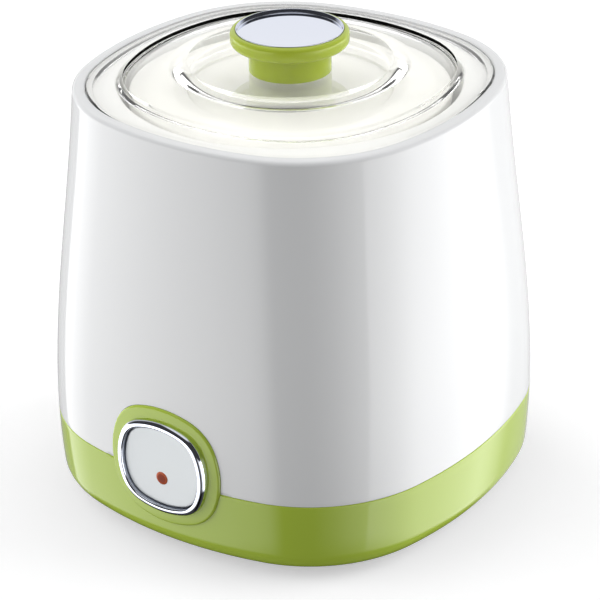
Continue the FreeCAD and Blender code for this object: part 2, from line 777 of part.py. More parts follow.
nodes = {
    "outer_shell": make_outer_shell(),
    "base_housing": make_base_housing(),
    "inner_liner": make_inner_liner(),
    "heater_plate": make_heater_plate(),
    "ptc_heater": make_ptc_heater(),
    "heater_clamp": make_heater_clamp(),
    "clamp_screws": make_clamp_screws(),
    "thermal_fuse": make_thermal_fuse(),
    "base_screws": make_base_screws(),
    "appliance_inlet": make_appliance_inlet(),
    "inlet_pins": make_inlet_pins(),
    "switch_board": make_switch_board(),
    "board_screws": make_board_screws(),
    "switch_body": make_switch_body(),
    "indicator_lamp": make_indicator_lamp(),
    "button_bezel": make_button_bezel(),
    "button_spring": make_button_spring(),
    "push_button": make_push_button(),
    "indicator_lens": make_indicator_lens(),
    "jar": make_jar(),
    "jar_lid": make_jar_lid(),
    "jar_lid_seal": make_jar_lid_seal(),
    "lid_cover": make_lid_cover(),
    "lid_knob": make_lid_knob(),
    "knob_cap": make_knob_cap(),
    "knob_screw": make_knob_screw(),
    "knob_washer": make_knob_washer(),
}
for name, (x, y) in zip(("front_left", "front_right", "back_left", "back_right"), corners(foot_offset)):
    nodes["foot_" + name] = make_foot(x, y)
for name, route in wire_routes.items():
    nodes[name] = wire_tube(route)

os.makedirs("parts", exist_ok=True)
for name, shape in nodes.items():
    print("%-16s solids %d valid %s volume %.1f" % (name, len(shape.Solids), shape.isValid(), shape.Volume))
    shape.exportStep("parts/%s.step" % name)
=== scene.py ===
import math

import bmesh
import bpy
import numpy as np
from mathutils import Matrix, Vector


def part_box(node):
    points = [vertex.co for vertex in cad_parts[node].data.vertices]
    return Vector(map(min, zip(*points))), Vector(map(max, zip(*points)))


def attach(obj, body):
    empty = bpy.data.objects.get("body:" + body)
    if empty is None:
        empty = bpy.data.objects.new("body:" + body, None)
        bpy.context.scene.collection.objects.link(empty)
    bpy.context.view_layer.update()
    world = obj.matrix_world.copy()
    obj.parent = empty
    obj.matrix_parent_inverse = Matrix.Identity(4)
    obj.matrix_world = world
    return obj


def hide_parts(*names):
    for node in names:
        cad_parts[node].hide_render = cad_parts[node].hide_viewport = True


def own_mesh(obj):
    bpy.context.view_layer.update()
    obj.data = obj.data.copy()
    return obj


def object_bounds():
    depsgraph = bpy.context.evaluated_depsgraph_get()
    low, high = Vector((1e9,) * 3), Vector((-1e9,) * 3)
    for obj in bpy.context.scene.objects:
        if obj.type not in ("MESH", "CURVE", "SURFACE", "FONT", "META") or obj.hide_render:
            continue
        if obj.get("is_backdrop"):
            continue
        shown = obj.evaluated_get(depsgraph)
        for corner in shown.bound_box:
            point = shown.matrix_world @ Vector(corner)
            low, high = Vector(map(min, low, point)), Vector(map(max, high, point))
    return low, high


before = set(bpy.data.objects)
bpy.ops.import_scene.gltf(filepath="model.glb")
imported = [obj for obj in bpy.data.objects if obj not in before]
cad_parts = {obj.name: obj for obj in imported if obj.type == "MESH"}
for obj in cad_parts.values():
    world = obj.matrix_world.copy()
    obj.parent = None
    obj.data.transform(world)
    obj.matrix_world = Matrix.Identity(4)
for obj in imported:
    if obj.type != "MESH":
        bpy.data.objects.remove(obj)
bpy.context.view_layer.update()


# Base tray: the lower part of the housing, moulded in pear-green gloss plastic. Its side wall takes up
# the shell's form, and it is screwed to the liner from below.
MM = 0.001
shell_low, shell_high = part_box("outer_shell")
base_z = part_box("base_housing")[0].z / MM
joint_z = shell_low.z / MM
rim_z = shell_high.z / MM
housing_heights = np.array([base_z, joint_z, (joint_z + rim_z) / 2, rim_z])
housing_halves = np.array([75.4, 76.4, 73.1, 68.1])
housing_corner = 51.0
housing_bow_low, housing_bow_high = 2.8, 1.9
housing_cubic = np.polyfit(housing_heights, housing_halves, 3)
housing_wall = 2.4
base_edge = 6.5
base_floor = 2.5


def cushion(half_x, half_y, corner, bow, normal):
    """Outline of four bowed sides and four round corners, at the angles of its normal.

    Each arc is centre + radius * (cos, sin) of the normal's angle. A corner's centre lies corner + bow
    inside both sides, and a side's radius is (c * c + 2 * corner * bow + bow * bow) / (2 * bow), where c is
    the corner centre's distance from the middle, so that sides and corners touch without a kink.
    """
    cx, cy = half_x - corner - bow, half_y - corner - bow
    radius_x = (cy * cy + 2 * corner * bow + bow * bow) / (2 * bow)
    radius_y = (cx * cx + 2 * corner * bow + bow * bow) / (2 * bow)
    low = np.arctan2(cy, cx - half_x + radius_x)
    high = np.arctan2(cy - half_y + radius_y, cx)
    fold = np.arctan2(np.abs(np.sin(normal)), np.abs(np.cos(normal)))
    on_x, on_y = fold < low, fold > high
    radius = np.where(on_x, radius_x, np.where(on_y, radius_y, corner))
    x = np.where(on_x, half_x - radius_x, np.where(on_y, 0, cx)) + radius * np.cos(fold)
    y = np.where(on_x, 0, np.where(on_y, half_y - radius_y, cy)) + radius * np.sin(fold)
    return np.sign(np.cos(normal)) * x, np.sign(np.sin(normal)) * y


def housing(normal, z, inset=0.0):
    """Point on the housing's outer form, moved inwards by inset.

    The half width is a cubic of the height through four stations, and the bow of the sides falls in a
    straight line from the bottom to the rim.
    """
    normal, z, inset = np.broadcast_arrays(normal, z, inset)
    half = np.polyval(housing_cubic, z) - inset
    rise = (z - base_z) / (rim_z - base_z)
    bow = housing_bow_low + (housing_bow_high - housing_bow_low) * rise
    x, y = cushion(half, half, housing_corner - inset, bow, normal)
    return np.stack([x, y, z], -1)


def front_normal(x, z):
    """Normal angle of the housing's front at a sideways place: -90 degrees + arcsin(x / side radius)."""
    half = np.polyval(housing_cubic, z)
    bow = housing_bow_low + (housing_bow_high - housing_bow_low) * (z - base_z) / (rim_z - base_z)
    c = half - housing_corner - bow
    radius = (c * c + 2 * housing_corner * bow + bow * bow) / (2 * bow)
    return 1.5 * np.pi + np.arcsin(x / radius)


def grid_faces(rows, columns, holes=None):
    """Quads of a grid of points, without the cells marked as holes."""
    index = np.arange(rows * columns).reshape(rows, columns)
    quads = np.stack([index[:-1, :-1], index[:-1, 1:], index[1:, 1:], index[1:, :-1]], -1)
    return quads[~holes] if holes is not None else quads.reshape(-1, 4)


def solid(name, sheets, material, body, slot, *replaced):
    """One closed mesh from grids of points in millimetres, welded where their borders meet."""
    points, faces, start = [], [], 0
    for sheet in sheets:
        grid, holes = sheet if isinstance(sheet, tuple) else (sheet, None)
        points.append(grid.reshape(-1, 3))
        faces.append(grid_faces(*grid.shape[:2], holes) + start)
        start += len(points[-1])
    mesh = bpy.data.meshes.new(name)
    mesh.from_pydata(np.concatenate(points) * MM, [], np.concatenate(faces).tolist())
    shape = bmesh.new()
    shape.from_mesh(mesh)
    bmesh.ops.remove_doubles(shape, verts=shape.verts, dist=0.002 * MM)
    bmesh.ops.dissolve_degenerate(shape, edges=shape.edges, dist=0.002 * MM)
    bmesh.ops.recalc_face_normals(shape, faces=shape.faces)
    shape.to_mesh(mesh)
    shape.free()
    mesh.shade_smooth()
    mesh.set_sharp_from_angle(angle=math.radians(35))
    mesh.materials.append(material)
    piece = bpy.data.objects.new(name, mesh)
    bpy.context.scene.collection.objects.link(piece)
    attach(piece, body)
    if replaced:
        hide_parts(*replaced)
    return piece


def rounded(outline, steps=6):
    """Profile through corners (a, b, radius), each corner replaced by an arc that touches both its sides."""
    corners = np.array([corner[:2] for corner in outline], float)
    path = [corners[0]]
    for before, here, after, corner in zip(corners, corners[1:], corners[2:], outline[1:]):
        back = (before - here) / np.linalg.norm(before - here)
        ahead = (after - here) / np.linalg.norm(after - here)
        half_angle = np.arccos(np.clip(back @ ahead, -1, 1)) / 2
        radius = corner[2] if len(corner) > 2 else 0.0
        if radius == 0.0:
            path.append(here)
            continue
        centre = here + (back + ahead) / np.linalg.norm(back + ahead) * radius / np.sin(half_angle)
        first = here + back * radius / np.tan(half_angle) - centre
        last = here + ahead * radius / np.tan(half_angle) - centre
        share = np.linspace(0, 1, steps + 1)[:, None]
        sweep = np.pi - 2 * half_angle
        arc = (np.sin((1 - share) * sweep) * first + np.sin(share * sweep) * last) / np.sin(sweep)
        path.extend(centre + arc)
    path.append(corners[-1])
    return np.array(path)


def tone(red, green, blue):
    """Display colour, 0 to 255, as the linear colour that a shader takes."""
    shown = np.array([red, green, blue]) / 255
    linear = np.where(shown <= 0.04045, shown / 12.92, ((shown + 0.055) / 1.055) ** 2.4)
    return (*linear, 1.0)


def moulding_group():
    """Uneven flow of a moulded surface: a slow drift of the colour, spots of roughness and a fine grain."""
    group = bpy.data.node_groups.new("moulding", "ShaderNodeTree")
    face, make, link = group.interface, group.nodes.new, group.links.new
    face.new_socket(name="Color", in_out="INPUT", socket_type="NodeSocketColor")
    for name in ("Drift", "Drift Scale", "Roughness", "Spread", "Spread Scale", "Grain Scale"):
        face.new_socket(name=name, in_out="INPUT", socket_type="NodeSocketFloat")
    face.new_socket(name="Color", in_out="OUTPUT", socket_type="NodeSocketColor")
    face.new_socket(name="Roughness", in_out="OUTPUT", socket_type="NodeSocketFloat")
    face.new_socket(name="Grain", in_out="OUTPUT", socket_type="NodeSocketFloat")
    given, result = make("NodeGroupInput"), make("NodeGroupOutput")
    place = make("ShaderNodeTexCoord").outputs["Object"]

    def noise(scale, detail):
        node = make("ShaderNodeTexNoise")
        node.inputs["Detail"].default_value = detail
        link(place, node.inputs["Vector"])
        link(given.outputs[scale], node.inputs["Scale"])
        return node.outputs["Fac"]

    def swing(value, amount, base):
        """base + amount * (value - 0.5)"""
        centred = make("ShaderNodeMath")
        centred.operation = "SUBTRACT"
        centred.inputs[1].default_value = 0.5
        link(value, centred.inputs[0])
        total = make("ShaderNodeMath")
        total.operation = "MULTIPLY_ADD"
        link(centred.outputs[0], total.inputs[0])
        link(given.outputs[amount], total.inputs[1])
        if isinstance(base, str):
            link(given.outputs[base], total.inputs[2])
        else:
            total.inputs[2].default_value = base
        return total.outputs[0]

    shaded = make("ShaderNodeVectorMath")
    shaded.operation = "SCALE"
    link(given.outputs["Color"], shaded.inputs[0])
    link(swing(noise("Drift Scale", 3), "Drift", 1.0), shaded.inputs["Scale"])
    link(shaded.outputs[0], result.inputs["Color"])
    link(swing(noise("Spread Scale", 4), "Spread", "Roughness"), result.inputs["Roughness"])
    link(noise("Grain Scale", 2), result.inputs["Grain"])
    return group


moulding = moulding_group()


def moulded(name, color, roughness, drift=0.05, drift_scale=14.0, spread=0.06, grain_scale=700.0,
            grain_depth=0.004, **sockets):
    """Principled material whose colour, roughness and grain come from the moulding group."""
    material = bpy.data.materials.new(name)
    material.use_nodes = True
    nodes, link = material.node_tree.nodes, material.node_tree.links.new
    shader = nodes["Principled BSDF"]
    flow = nodes.new("ShaderNodeGroup")
    flow.node_tree = moulding
    values = {"Color": color, "Drift": drift, "Drift Scale": drift_scale, "Roughness": roughness,
              "Spread": spread, "Spread Scale": 220.0, "Grain Scale": grain_scale}
    for socket, value in values.items():
        flow.inputs[socket].default_value = value
    grain = nodes.new("ShaderNodeBump")
    grain.inputs["Strength"].default_value = 0.4
    grain.inputs["Distance"].default_value = grain_depth * MM
    link(flow.outputs["Color"], shader.inputs["Base Color"])
    link(flow.outputs["Roughness"], shader.inputs["Roughness"])
    link(flow.outputs["Grain"], grain.inputs["Height"])
    link(grain.outputs["Normal"], shader.inputs["Normal"])
    for socket, value in sockets.items():
        shader.inputs[socket.replace("_", " ")].default_value = value
    return material


def dress(material, *names):
    """Gives nodes of the frame their material."""
    for name in names:
        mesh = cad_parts[name].data
        mesh.materials.clear()
        mesh.materials.append(material)


def green_plastic(name, color, roughness):
    """Pear-green plastic. Light that it passes on to its surroundings is kept neutral."""
    material = moulded(name, color, roughness, drift=0.05, spread=0.03)
    nodes, link = material.node_tree.nodes, material.node_tree.links.new
    passed_on = nodes.new("ShaderNodeMix")
    passed_on.data_type = "RGBA"
    link(nodes.new("ShaderNodeLightPath").outputs["Is Diffuse Ray"], passed_on.inputs["Factor"])
    link(nodes["Group"].outputs["Color"], passed_on.inputs[6])
    passed_on.inputs[7].default_value = tone(150, 150, 150)
    link(passed_on.outputs[2], nodes["Principled BSDF"].inputs["Base Color"])
    return material


base_green = green_plastic("base_green", tone(178, 202, 73), 0.06)
turn = np.radians(np.arange(361.0))
bezel_low, bezel_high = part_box("button_bezel")
panel_z = (bezel_low.z + bezel_high.z) / 2 / MM
opening_x, opening_z, opening_corner, opening_bow = 15.5, 14.4, 9.0, 0.9
inlet_normal = math.radians(5.15)
inlet_low, inlet_high = 10.35, 23.65
turn[85], turn[95] = np.pi / 2 - inlet_normal, np.pi / 2 + inlet_normal


def panel_outline(grow, angle):
    """Sideways place and height on the outline of the panel's opening, grown on all sides."""
    x, z = cushion(opening_x + grow, opening_z + grow, opening_corner + grow, opening_bow, angle)
    return x, panel_z + z


def notch_path(grow, over):
    """Normal angles and heights along the part of the panel's outline above or below the joint."""
    drop = np.arcsin((panel_z - joint_z) / panel_side_radius(grow))
    ends = (np.pi + drop, -drop) if over else (np.pi + drop, 2 * np.pi - drop)
    x, z = panel_outline(grow, np.linspace(*ends, len(notch_columns)))
    return front_normal(x, z), z


def panel_side_radius(grow):
    """Radius of the bowed left and right sides of the panel's outline."""
    corner = opening_corner + grow
    c = opening_z + grow - corner - opening_bow
    return (c * c + 2 * corner * opening_bow + opening_bow ** 2) / (2 * opening_bow)


joint_edge = 0.35
joint_steps = joint_edge * np.array([0.0, 0.12, 0.3, 0.6, 1.0])


def joint_inset(z):
    """Rounding of the edges that meet at the joint: edge - sqrt(edge ** 2 - (edge - distance) ** 2)."""
    short = np.clip(joint_edge - np.abs(z - joint_z), 0, joint_edge)
    return joint_edge - np.sqrt(joint_edge ** 2 - short ** 2)


window = slice(260, 281)
base_rows = np.concatenate([np.linspace(base_z + base_edge, inlet_low, 2),
                            np.linspace(inlet_low, inlet_high, 12)[1:],
                            np.linspace(inlet_high, joint_z - joint_edge, 5)[1:],
                            joint_z - joint_steps[-2::-1]])
window_row = 3
notch_columns = np.concatenate([np.full(len(base_rows) - 1 - window_row, window.start),
                                np.arange(window.start, window.stop),
                                np.full(len(base_rows) - 1 - window_row, window.stop - 1)])
notch_rows = np.concatenate([np.arange(len(base_rows) - 1, window_row, -1),
                             np.full(window.stop - window.start, window_row),
                             np.arange(window_row + 1, len(base_rows))])
patch_share = np.linspace(0, 1, 5)[:, None]
cover_grow = 4.2
notch_normal, notch_z = notch_path(cover_grow, over=False)
patch_normal = (1 - patch_share) * turn[notch_columns] + patch_share * notch_normal
patch_z = (1 - patch_share) * base_rows[notch_rows] + patch_share * notch_z
base_holes = np.zeros((len(base_rows) - 1, len(turn) - 1), bool)
base_holes[window_row:, window.start:window.stop - 1] = True
inlet_rows = slice(np.argmin(abs(base_rows - inlet_low)), np.argmin(abs(base_rows - inlet_high)))
base_holes[inlet_rows, 85:95] = True


def wall_sheet(z, holes, deep):
    """Side wall with the openings for the panel and the power inlet, and the patch round the panel."""
    shift = [deep if deep else joint_inset(height) for height in (z[:, None], patch_z)]
    return [(housing(turn, z[:, None], shift[0]), holes), housing(patch_normal, patch_z, shift[1])]


def wall_edge(normal, z, deep=housing_wall):
    """Cut edge of a wall: the same line on the outside and on the inside."""
    return np.stack([housing(normal, z, joint_inset(z)), housing(normal, z, deep)])


edge_angle = np.linspace(0, np.pi / 2, 10)[:, None]
edge_inset = base_edge * (1 - np.cos(edge_angle))
edge_z = base_z + base_edge * (1 - np.sin(edge_angle))
inner_edge = base_edge - housing_wall
inner_inset = housing_wall + inner_edge * (1 - np.cos(edge_angle))
inner_z = base_z + base_floor + inner_edge * (1 - np.sin(edge_angle))
floor_share = np.linspace(1, 0, 9)[:, None, None]
flat = np.array([1, 1, 0])
lift = np.array([0, 0, 1])
under = housing(turn, base_z, base_edge)
inside = housing(turn, base_z + base_floor, base_edge)
inlet_line = turn[85:96]
inlet_span = base_rows[inlet_rows.start:inlet_rows.stop + 1]
solid(
    "base_tray",
    wall_sheet(base_rows, base_holes, 0.0) + wall_sheet(base_rows, base_holes, housing_wall) + [
        housing(turn, edge_z, edge_inset),
        under * (floor_share * flat + lift),
        np.concatenate([housing(turn, base_rows[:1, None], housing_wall),
                        housing(turn, inner_z, inner_inset)]),
        inside * (floor_share * flat + lift),
        wall_edge(notch_normal, notch_z),
        wall_edge(turn[window.stop - 1:], joint_z),
        wall_edge(turn[:window.start + 1], joint_z),
        wall_edge(inlet_line, inlet_low),
        wall_edge(inlet_line, inlet_high),
        wall_edge(turn[85], inlet_span),
        wall_edge(turn[95], inlet_span),
    ],
    base_green, "housing", "base_green", "base_housing")


# Collar: the green ring that rises from the base round the button panel and stands a little proud of
# the white shell. It is one moulding with the base and covers the notch in the shell's lower edge.
collar_grow = 6.7
collar_proud = 0.9
collar_edge = 0.7
collar_deep = 3.0
sleeve_grow = 1.6
sleeve_y = -69.0
ring_turn = np.linspace(0, 2 * np.pi, 193)


def housing_front(x, z, proud):
    """Depth of the housing's front wall, raised by proud, at a sideways place and a height."""
    normal = front_normal(x, z)
    return housing(normal, z)[..., 1] - proud * np.cos(normal - 1.5 * np.pi)


collar_profile = rounded([(collar_grow, -collar_deep), (collar_grow, collar_proud, collar_edge),
                          (sleeve_grow, collar_proud)])
collar_x, collar_z = panel_outline(collar_profile[:, :1], ring_turn)
collar_front = np.stack([collar_x, housing_front(collar_x, collar_z, collar_profile[:, 1:]), collar_z], -1)
back_x, back_z = panel_outline(np.array([[sleeve_grow], [collar_grow]]), ring_turn)
collar_back = np.stack([back_x, np.broadcast_to(sleeve_y, back_x.shape), back_z], -1)
solid("base_collar", [np.concatenate([collar_front, collar_back, collar_front[:1]])], base_green, "housing",
      "base_green")


# Feet: four round rubber pads, pressed into shallow recesses under the base.
foot_rubber = moulded("foot_rubber", tone(38, 38, 38), 0.75, grain_scale=1800.0, grain_depth=0.02)
column_turn = np.linspace(0, 2 * np.pi, 97)
foot_draft, foot_round = 0.6, 0.8


def turned(profile, x=0.0, y=0.0):
    """Surface of revolution about an upright axis: (radius * cos, radius * sin, height)."""
    radius, z = profile[:, :1], profile[:, 1:]
    wide = [x + radius * np.cos(column_turn), y + radius * np.sin(column_turn)]
    return np.stack([*wide, np.broadcast_to(z, wide[0].shape)], -1)


for foot in ("foot_front_left", "foot_front_right", "foot_back_left", "foot_back_right"):
    low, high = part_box(foot)
    middle = (low + high) / 2 / MM
    wide = (high.x - low.x) / 2 / MM
    foot_profile = rounded([(0, low.z / MM), (wide - foot_draft, low.z / MM, foot_round), (wide, high.z / MM),
                            (0, high.z / MM)])
    solid(foot + "_pad", [turned(foot_profile, middle.x, middle.y)], foot_rubber, "housing", "foot_rubber",
          foot)


# Inside the base: heater, fuse, wires, board and switch, each fixed by small screws. They keep the
# solids' shapes and get the finish of their stock: sheet, turned metal, moulded plastic, insulation.
rolled_aluminium = moulded("rolled_aluminium", tone(205, 206, 208), 0.35, Metallic=1.0)
plain_steel = moulded("plain_steel", tone(170, 170, 172), 0.32, Metallic=1.0)
zinc_steel = moulded("zinc_steel", tone(196, 196, 192), 0.28, Metallic=1.0)
turned_brass = moulded("turned_brass", tone(206, 170, 98), 0.25, Metallic=1.0)
heater_film = moulded("heater_film", tone(202, 178, 138), 0.4)
fuse_sleeve = moulded("fuse_sleeve", tone(214, 208, 192), 0.7, grain_scale=2600.0, grain_depth=0.05)
board_paper = moulded("board_paper", tone(152, 116, 66), 0.5, drift=0.16)
inlet_black = moulded("inlet_black", tone(30, 30, 31), 0.45, grain_depth=0.02)
wire_brown = moulded("wire_brown", tone(92, 56, 32), 0.5)
wire_blue = moulded("wire_blue", tone(42, 78, 148), 0.5)
dress(rolled_aluminium, "heater_plate")
dress(plain_steel, "heater_clamp")
dress(zinc_steel, "clamp_screws", "base_screws", "board_screws", "knob_screw", "knob_washer")
dress(turned_brass, "inlet_pins")
dress(heater_film, "ptc_heater")
dress(fuse_sleeve, "thermal_fuse")
dress(board_paper, "switch_board")
dress(inlet_black, "appliance_inlet", "switch_body")
dress(wire_brown, "live_wire", "switched_wire", "fuse_lead")
dress(wire_blue, "neutral_wire", "lamp_wire")


# Liner: the white bucket that holds the jar. It hangs by a flange of the lid's outline in the mouth of
# the shell, and its floor carries the heater.
liner_white = moulded("liner_white", tone(250, 250, 248), 0.42, drift=0.03, grain_depth=0.012)
liner_wall = 2.0
liner_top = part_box("inner_liner")[1].z / MM
flange_under = liner_top - liner_wall
liner_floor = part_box("heater_plate")[1].z / MM + liner_wall
liner_radii = 54.8, 57.0
mouth_edge, mouth_bevel = 0.8, 0.2
floor_edge, floor_bevel = 1.0, 0.3
lid_half, lid_corner, lid_bow = 63.4, 46.3, 1.9
flange_turn = np.linspace(0, 2 * np.pi, 241)


def flange_ring(share, radius, z, inset=0.0):
    """Ring that passes from the lid's outline (share 0) to a circle (share 1)."""
    x, y = cushion(lid_half - inset, lid_half - inset, lid_corner - inset, lid_bow, flange_turn)
    x = (1 - share) * x + share * radius * np.cos(flange_turn)
    y = (1 - share) * y + share * radius * np.sin(flange_turn)
    return np.stack([x, y, np.full_like(x, z)], -1)


bucket = [(1, liner_radii[1] + liner_wall, flange_under), (0, 0, flange_under), (0, 0, liner_top),
          (1, liner_radii[1] + mouth_edge, liner_top),
          (1, liner_radii[1] + mouth_bevel, liner_top - mouth_bevel),
          (1, liner_radii[1], liner_top - mouth_edge), (1, liner_radii[0], liner_floor + floor_edge),
          (1, liner_radii[0] - floor_bevel, liner_floor + floor_bevel),
          (1, liner_radii[0] - floor_edge, liner_floor),
          (1, 0, liner_floor), (1, 0, liner_floor - liner_wall),
          (1, liner_radii[0] + liner_wall, liner_floor - liner_wall),
          (1, liner_radii[1] + liner_wall, flange_under)]
bucket_rings = np.stack([flange_ring(*row) for row in bucket])
solid("liner_bucket", [bucket_rings], liner_white, "housing", "liner_white", "inner_liner")


# Shell: the white upper housing, one deep moulding with a polished face. It ends in a rounded rim with a
# recess for the lid, and a notch in its lower edge leaves room for the collar.
shell_white = moulded("shell_white", tone(236, 237, 238), 0.05, drift=0.012, spread=0.02, grain_scale=260.0,
                      grain_depth=0.003)
rim_edge = 1.3
recess_inset, recess_edge = 4.35, 0.5
ledge_z = flange_under
ledge_under = ledge_z - 2.4
mouth_radius = 59.3
shell_top = rim_z - rim_edge
close_rows_top = 61.4
seam_room = 0.01
shell_rows = np.concatenate([joint_z + joint_steps, np.linspace(joint_z, close_rows_top, 17)[1:],
                             np.linspace(close_rows_top, shell_top, 34)[1:]])
top_row = 19
notch_columns = np.concatenate([np.full(top_row, window.start), np.arange(window.start, window.stop),
                                np.full(top_row, window.stop - 1)])
notch_rows = np.concatenate([np.arange(top_row), np.full(window.stop - window.start, top_row),
                             np.arange(top_row - 1, -1, -1)])
collar_room = 0.1
notch_normal, notch_z = notch_path(collar_grow + collar_room, over=True)
patch_normal = (1 - patch_share) * turn[notch_columns] + patch_share * notch_normal
patch_z = (1 - patch_share) * shell_rows[notch_rows] + patch_share * notch_z
shell_holes = np.zeros((len(shell_rows) - 1, len(turn) - 1), bool)
shell_holes[:top_row, window.start:window.stop - 1] = True
plain_z = shell_rows[top_row + 1]


def inside_height(z):
    """Height on the inside of the shell that belongs to one outside: the part above the notch is shorter."""
    return np.where(z < plain_z, z, plain_z + (z - plain_z) * (ledge_under - plain_z) / (shell_top - plain_z))


rim_profile = rounded([(0.0, shell_top), (0.0, rim_z, rim_edge), (recess_inset, rim_z, recess_edge),
                       (recess_inset, ledge_z + seam_room)])
rim_half = np.polyval(housing_cubic, rim_profile[:, 1])
rim_x, rim_y = cushion((rim_half - rim_profile[:, 0])[:, None], (rim_half - rim_profile[:, 0])[:, None],
                       (housing_corner - rim_profile[:, 0])[:, None], housing_bow_high, turn)
rim_sheet = np.stack([rim_x, rim_y, np.broadcast_to(rim_profile[:, 1:], rim_x.shape)], -1)
rim_sheet[0] = housing(turn, shell_top)
mouth = np.stack([mouth_radius * np.cos(turn), mouth_radius * np.sin(turn), np.zeros_like(turn)], -1)
ledge_rows = np.stack([rim_sheet[-1], mouth + lift * ledge_z, mouth + lift * ledge_under,
                       housing(turn, ledge_under, housing_wall)])
solid(
    "white_shell",
    wall_sheet(shell_rows, shell_holes, 0.0) + [
        (housing(turn, inside_height(shell_rows)[:, None], housing_wall), shell_holes),
        housing(patch_normal, inside_height(patch_z), housing_wall),
        rim_sheet,
        ledge_rows,
        wall_edge(notch_normal, notch_z),
        wall_edge(turn[window.stop - 1:], joint_z),
        wall_edge(turn[:window.start + 1], joint_z),
    ],
    shell_white, "housing", "shell_white", "outer_shell")


# Bezel: a chrome-plated ring that frames the button. Its face is rounded over, and a sleeve behind it
# plugs into the collar.
chrome = moulded("chrome", tone(231, 235, 247), 0.04, drift=0.01, spread=0.02, grain_depth=0.001,
                 Metallic=1.0)
bezel_front, bezel_back = bezel_low.y / MM, bezel_high.y / MM
bezel_seat = -74.0
bezel_band = bezel_high.x / MM - opening_x
bezel_round, bezel_lip = 0.68 * bezel_band, 0.25 * bezel_band
bezel_sleeve = 1.4


def panel_ring(profile):
    """Surface along the panel's outline: the profile gives how far it is grown and its depth."""
    x, z = panel_outline(profile[:, :1], ring_turn)
    return np.stack([x, np.broadcast_to(profile[:, 1:], x.shape), z], -1)


bezel_profile = rounded([(bezel_sleeve, bezel_back), (bezel_sleeve, bezel_seat), (bezel_band, bezel_seat),
                         (bezel_band, bezel_front, bezel_round), (0.0, bezel_front, bezel_lip),
                         (0.0, bezel_back), (bezel_sleeve, bezel_back)], 10)
solid("chrome_bezel", [panel_ring(bezel_profile)], chrome, "housing", "chrome", "button_bezel")


# Button: a silver-lacquered cap that slides in the bezel, with a stem to the switch behind it and a
# round hole for the lamp's lens.
button_silver = moulded("button_silver", tone(214, 218, 220), 0.3, drift=0.03, spread=0.1, grain_scale=5200.0,
                        grain_depth=0.006, Metallic=0.25)
button_low, button_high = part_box("push_button")
lens_low, lens_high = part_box("indicator_lens")
face_y = button_low.y / MM
button_back = face_y + 2.4
skirt_back = button_back + 2.5
button_grow = -0.3
lens_z = (lens_low.z + lens_high.z) / 2 / MM
lens_radius = 2.35
face_share = np.linspace(0, 1, 9)[:, None]


def face_sheet(grow, y):
    """Flat sheet from the panel's outline to the rim of the lens's hole."""
    x, z = panel_outline(grow, ring_turn)
    x = (1 - face_share) * x + face_share * lens_radius * np.cos(ring_turn)
    z = (1 - face_share) * z + face_share * (lens_z + lens_radius * np.sin(ring_turn))
    return np.stack([x, np.full_like(x, y), z], -1)


def across(radius, y, z):
    """Circle about an axis along the depth."""
    x = radius * np.cos(ring_turn)
    return np.stack([x, np.full_like(x, y), z + radius * np.sin(ring_turn)], -1)


skirt_wall = 1.5
button_edge = 0.6
button_profile = rounded([(button_grow - skirt_wall, button_back), (button_grow - skirt_wall, skirt_back),
                          (button_grow, skirt_back), (button_grow, face_y, button_edge),
                          (button_grow - button_edge, face_y)])
front_sheet = face_sheet(button_grow - button_edge, face_y)
back_sheet = face_sheet(button_grow - skirt_wall, button_back)
stem_z, stem_radius = panel_z + 4.5, 1.8
stem_front, stem_back = button_back - 0.5, button_high.y / MM
stem_rows = [(0, stem_front), (stem_radius, stem_front), (stem_radius, stem_back), (0, stem_back)]
solid("silver_button", [panel_ring(button_profile), front_sheet, back_sheet,
                        np.stack([front_sheet[-1], back_sheet[-1]])],
      button_silver, "button", "button_silver", "push_button")
solid("button_stem", [np.stack([across(radius, y, stem_z) for radius, y in stem_rows])], button_silver,
      "button", "button_silver")


# Return spring: a coil of steel wire round the stem. It stands on the switch, and its piece gets a mesh of
# its own.
spring_wire, spring_radius, spring_turns = 0.25, 2.6, 3.5
spring_front, spring_back = (corner.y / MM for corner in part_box("button_spring"))
wind = np.linspace(0, 2 * np.pi * spring_turns, 141)[:, None]
wire_turn = np.linspace(0, 2 * np.pi, 11)


def coil(wire):
    """Tube round a helix: the wire's circle is carried along (radius * cos, pitch * angle, radius * sin)."""
    away = spring_radius + wire * np.cos(wire_turn)
    along = (spring_front + spring_wire) + (spring_back - spring_front - 2 * spring_wire) * wind / wind[-1]
    return np.stack([away * np.cos(wind), along + wire * np.sin(wire_turn), stem_z + away * np.sin(wind)], -1)


spring_tube, spring_core = coil(spring_wire), coil(0.0)
spring_rings = np.concatenate([spring_core[:1], spring_tube, spring_core[-1:]])
spring_piece = solid("return_spring", [spring_rings], plain_steel, "housing", "spring_steel", "button_spring")
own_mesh(spring_piece)


